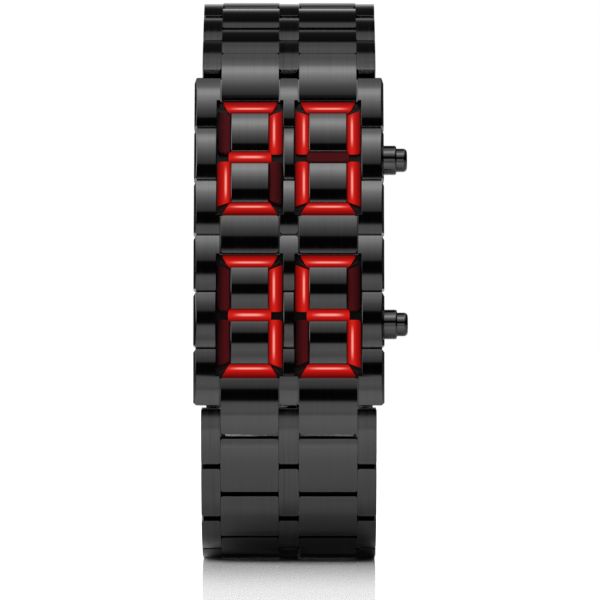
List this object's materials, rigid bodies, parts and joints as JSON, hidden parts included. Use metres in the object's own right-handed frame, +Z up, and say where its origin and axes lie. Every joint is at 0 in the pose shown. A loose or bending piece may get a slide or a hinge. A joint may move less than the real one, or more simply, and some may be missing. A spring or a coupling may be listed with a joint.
{
  "type": "led bracelet watch",
  "caption": "Black steel bracelet watch whose curved case shows the hour over the minutes in large red segment figures; its band stands closed.",
  "frame": {"origin": "on the ground, under the middle of the link that lies flat there, on the band's mid plane", "axes": "+X across the band to the side of the pushers, +Y from the figures to the clasp, +Z up towards 12 o'clock"},
  "size_m": [0.027, 0.051, 0.0718],
  "materials": {
    "case_steel": "polished black plated steel",
    "band_steel": "polished black plated steel",
    "clasp_steel": "polished black plated steel",
    "bright_steel": "plain stainless steel, brushed",
    "cell_steel": "nickel plated steel can",
    "mask_black": "black plated sheet with polished blocks",
    "red_lens": "clear red moulded acrylic",
    "white_box": "white moulded plastic",
    "led_white": "moulded light chips",
    "board_green": "green solder mask",
    "chip_black": "moulded chip and parts",
    "frame_black": "black moulded plastic",
    "gold_spring": "gold plated spring strip",
    "seal_rubber": "black seal rubber"
  },
  "bodies": {
    "case": {"case_body": "case_steel", "segment_mask": "mask_black", "hours_lens": "red_lens", "minutes_lens": "red_lens", "light_box": "white_box", "led_chips": "led_white", "circuit_board": "board_green", "board_components": "chip_black", "contact_springs": "gold_spring", "module_frame": "frame_black", "coin_cells": "cell_steel", "back_gasket": "seal_rubber", "case_back": "bright_steel", "case_back_screws": "bright_steel", "pusher_tubes": "case_steel", "upper_pusher_spring": "bright_steel", "lower_pusher_spring": "bright_steel"},
    "upper_pusher": {"upper_pusher": "case_steel", "upper_pusher_seal": "seal_rubber"},
    "lower_pusher": {"lower_pusher": "case_steel", "lower_pusher_seal": "seal_rubber"},
    "upper_link_01": {"upper_link_01": "band_steel"},
    "upper_link_02": {"upper_link_02": "band_steel"},
    "upper_link_03": {"upper_link_03": "band_steel"},
    "upper_link_04": {"upper_link_04": "band_steel"},
    "upper_link_05": {"upper_link_05": "band_steel"},
    "upper_link_06": {"upper_link_06": "band_steel"},
    "upper_link_07": {"upper_link_07": "band_steel"},
    "upper_link_08": {"upper_link_08": "band_steel"},
    "upper_link_09": {"upper_link_09": "band_steel"},
    "upper_link_10": {"upper_link_10": "band_steel"},
    "upper_link_11": {"upper_link_11": "band_steel"},
    "upper_link_12": {"upper_link_12": "band_steel"},
    "upper_link_13": {"upper_link_13": "band_steel"},
    "upper_link_14": {"upper_link_14": "band_steel", "upper_spring_bar": "bright_steel"},
    "lower_link_01": {"lower_link_01": "band_steel"},
    "lower_link_02": {"lower_link_02": "band_steel"},
    "lower_link_03": {"lower_link_03": "band_steel"},
    "lower_link_04": {"lower_link_04": "band_steel"},
    "lower_link_05": {"lower_link_05": "band_steel"},
    "lower_link_06": {"lower_link_06": "band_steel"},
    "lower_link_07": {"lower_link_07": "band_steel"},
    "lower_link_08": {"lower_link_08": "band_steel"},
    "lower_link_09": {"lower_link_09": "band_steel"},
    "lower_link_10": {"lower_link_10": "band_steel"},
    "lower_link_11": {"lower_link_11": "band_steel"},
    "lower_link_12": {"lower_link_12": "band_steel"},
    "lower_link_13": {"lower_link_13": "band_steel"},
    "lower_link_14": {"lower_link_14": "band_steel"},
    "lower_link_15": {"lower_link_15": "band_steel", "lower_spring_bar": "bright_steel"},
    "inner_blade": {"inner_blade": "bright_steel"},
    "outer_blade": {"outer_blade": "bright_steel", "clasp_rivets": "bright_steel"},
    "clasp_cover": {"clasp_cover": "clasp_steel", "button_spring": "bright_steel"},
    "left_button": {"left_button": "clasp_steel"},
    "right_button": {"right_button": "clasp_steel"}
  },
  "joints": [
    {"name": "upper_hinge_01", "type": "hinge", "parent": "case", "child": "upper_link_01", "pos_m": [0, -0.00861, 0.06249], "axis": [1, 0, 0], "range_deg": [0, 28.9]},
    {"name": "upper_hinge_02", "type": "hinge", "parent": "upper_link_01", "child": "upper_link_02", "pos_m": [0, -0.00562, 0.06451], "axis": [1, 0, 0], "range_deg": [0, 8]},
    {"name": "upper_hinge_03", "type": "hinge", "parent": "upper_link_02", "child": "upper_link_03", "pos_m": [0, -0.00247, 0.06625], "axis": [1, 0, 0], "range_deg": [0, 5]},
    {"name": "upper_hinge_04", "type": "hinge", "parent": "upper_link_03", "child": "upper_link_04", "pos_m": [0, 0.00074, 0.06789], "axis": [1, 0, 0], "range_deg": [0, 7]},
    {"name": "upper_hinge_05", "type": "hinge", "parent": "upper_link_04", "child": "upper_link_05", "pos_m": [0, 0.00405, 0.06929], "axis": [1, 0, 0], "range_deg": [0, 12]},
    {"name": "upper_hinge_06", "type": "hinge", "parent": "upper_link_05", "child": "upper_link_06", "pos_m": [0, 0.00754, 0.07016], "axis": [1, 0, 0], "range_deg": [0, 15]},
    {"name": "upper_hinge_07", "type": "hinge", "parent": "upper_link_06", "child": "upper_link_07", "pos_m": [0, 0.01114, 0.07029], "axis": [1, 0, 0], "range_deg": [0, 17]},
    {"name": "upper_hinge_08", "type": "hinge", "parent": "upper_link_07", "child": "upper_link_08", "pos_m": [0, 0.01466, 0.06954], "axis": [1, 0, 0], "range_deg": [0, 17]},
    {"name": "upper_hinge_09", "type": "hinge", "parent": "upper_link_08", "child": "upper_link_09", "pos_m": [0, 0.0179, 0.06796], "axis": [1, 0, 0], "range_deg": [0, 17]},
    {"name": "upper_hinge_10", "type": "hinge", "parent": "upper_link_09", "child": "upper_link_10", "pos_m": [0, 0.02065, 0.06565], "axis": [1, 0, 0], "range_deg": [0, 16]},
    {"name": "upper_hinge_11", "type": "hinge", "parent": "upper_link_10", "child": "upper_link_11", "pos_m": [0, 0.02282, 0.06277], "axis": [1, 0, 0], "range_deg": [0, 15]},
    {"name": "upper_hinge_12", "type": "hinge", "parent": "upper_link_11", "child": "upper_link_12", "pos_m": [0, 0.02434, 0.05951], "axis": [1, 0, 0], "range_deg": [0, 13]},
    {"name": "upper_hinge_13", "type": "hinge", "parent": "upper_link_12", "child": "upper_link_13", "pos_m": [0, 0.02527, 0.05603], "axis": [1, 0, 0], "range_deg": [0, 11]},
    {"name": "upper_hinge_14", "type": "hinge", "parent": "upper_link_13", "child": "upper_link_14", "pos_m": [0, 0.02571, 0.05246], "axis": [1, 0, 0], "range_deg": [0, 10]},
    {"name": "lower_hinge_01", "type": "hinge", "parent": "case", "child": "lower_link_01", "pos_m": [0, -0.02138, 0.01796], "axis": [-1, 0, 0], "range_deg": [0, 12.9]},
    {"name": "lower_hinge_02", "type": "hinge", "parent": "lower_link_01", "child": "lower_link_02", "pos_m": [0, -0.02087, 0.0144], "axis": [-1, 0, 0], "range_deg": [0, 13]},
    {"name": "lower_hinge_03", "type": "hinge", "parent": "lower_link_02", "child": "lower_link_03", "pos_m": [0, -0.01976, 0.01097], "axis": [-1, 0, 0], "range_deg": [0, 16]},
    {"name": "lower_hinge_04", "type": "hinge", "parent": "lower_link_03", "child": "lower_link_04", "pos_m": [0, -0.01791, 0.00789], "axis": [-1, 0, 0], "range_deg": [0, 15]},
    {"name": "lower_hinge_05", "type": "hinge", "parent": "lower_link_04", "child": "lower_link_05", "pos_m": [0, -0.01545, 0.00525], "axis": [-1, 0, 0], "range_deg": [0, 19]},
    {"name": "lower_hinge_06", "type": "hinge", "parent": "lower_link_05", "child": "lower_link_06", "pos_m": [0, -0.01237, 0.0034], "axis": [-1, 0, 0], "range_deg": [0, 15]},
    {"name": "lower_hinge_07", "type": "hinge", "parent": "lower_link_06", "child": "lower_link_07", "pos_m": [0, -0.00896, 0.00223], "axis": [-1, 0, 0], "range_deg": [0, 14]},
    {"name": "lower_hinge_08", "type": "hinge", "parent": "lower_link_07", "child": "lower_link_08", "pos_m": [0, -0.0054, 0.00173], "axis": [-1, 0, 0], "range_deg": [0, 9]},
    {"name": "lower_hinge_09", "type": "hinge", "parent": "lower_link_08", "child": "lower_link_09", "pos_m": [0, -0.0018, 0.0016], "axis": [-1, 0, 0], "range_deg": [0, 5]},
    {"name": "lower_hinge_10", "type": "hinge", "parent": "lower_link_09", "child": "lower_link_10", "pos_m": [0, 0.0018, 0.0016], "axis": [-1, 0, 0], "range_deg": [0, 5]},
    {"name": "lower_hinge_11", "type": "hinge", "parent": "lower_link_10", "child": "lower_link_11", "pos_m": [0, 0.0054, 0.00173], "axis": [-1, 0, 0], "range_deg": [0, 12]},
    {"name": "lower_hinge_12", "type": "hinge", "parent": "lower_link_11", "child": "lower_link_12", "pos_m": [0, 0.00893, 0.00241], "axis": [-1, 0, 0], "range_deg": [0, 16]},
    {"name": "lower_hinge_13", "type": "hinge", "parent": "lower_link_12", "child": "lower_link_13", "pos_m": [0, 0.01222, 0.00388], "axis": [-1, 0, 0], "range_deg": [0, 17]},
    {"name": "lower_hinge_14", "type": "hinge", "parent": "lower_link_13", "child": "lower_link_14", "pos_m": [0, 0.01506, 0.00609], "axis": [-1, 0, 0], "range_deg": [0, 17]},
    {"name": "lower_hinge_15", "type": "hinge", "parent": "lower_link_14", "child": "lower_link_15", "pos_m": [0, 0.01727, 0.00893], "axis": [-1, 0, 0], "range_deg": [0, 17]},
    {"name": "blade_hinge", "type": "hinge", "parent": "lower_link_15", "child": "inner_blade", "pos_m": [0, 0.01874, 0.01222], "axis": [-1, 0, 0], "range_deg": [0, 25.2]},
    {"name": "blade_fold", "type": "hinge", "parent": "inner_blade", "child": "outer_blade", "pos_m": [0, 0.02407, 0.04103], "axis": [1, 0, 0], "range_deg": [0, 150]},
    {"name": "cover_fold", "type": "hinge", "parent": "outer_blade", "child": "clasp_cover", "pos_m": [0, 0.02015, 0.01643], "axis": [-1, 0, 0], "range_deg": [0, 150]},
    {"name": "left_button_press", "type": "slide", "parent": "clasp_cover", "child": "left_button", "axis": [1, 0, 0], "range_m": [0, 0.0005], "stiffness_N_per_m": 600, "springref_m": -0.0015, "deforming": ["button_spring"]},
    {"name": "right_button_press", "type": "slide", "parent": "clasp_cover", "child": "right_button", "axis": [-1, 0, 0], "range_m": [0, 0.0005], "stiffness_N_per_m": 600, "springref_m": -0.0015},
    {"name": "upper_pusher_press", "type": "slide", "parent": "case", "child": "upper_pusher", "axis": [-1, 0, 0], "range_m": [0, 0.0005], "stiffness_N_per_m": 800, "springref_m": -0.001, "deforming": ["upper_pusher_spring"]},
    {"name": "lower_pusher_press", "type": "slide", "parent": "case", "child": "lower_pusher", "axis": [-1, 0, 0], "range_m": [0, 0.0005], "stiffness_N_per_m": 800, "springref_m": -0.001, "deforming": ["lower_pusher_spring"]}
  ],
  "couplings": [
    {"joint": "cover_fold", "follows": "blade_fold", "ratio": 1}
  ]
}
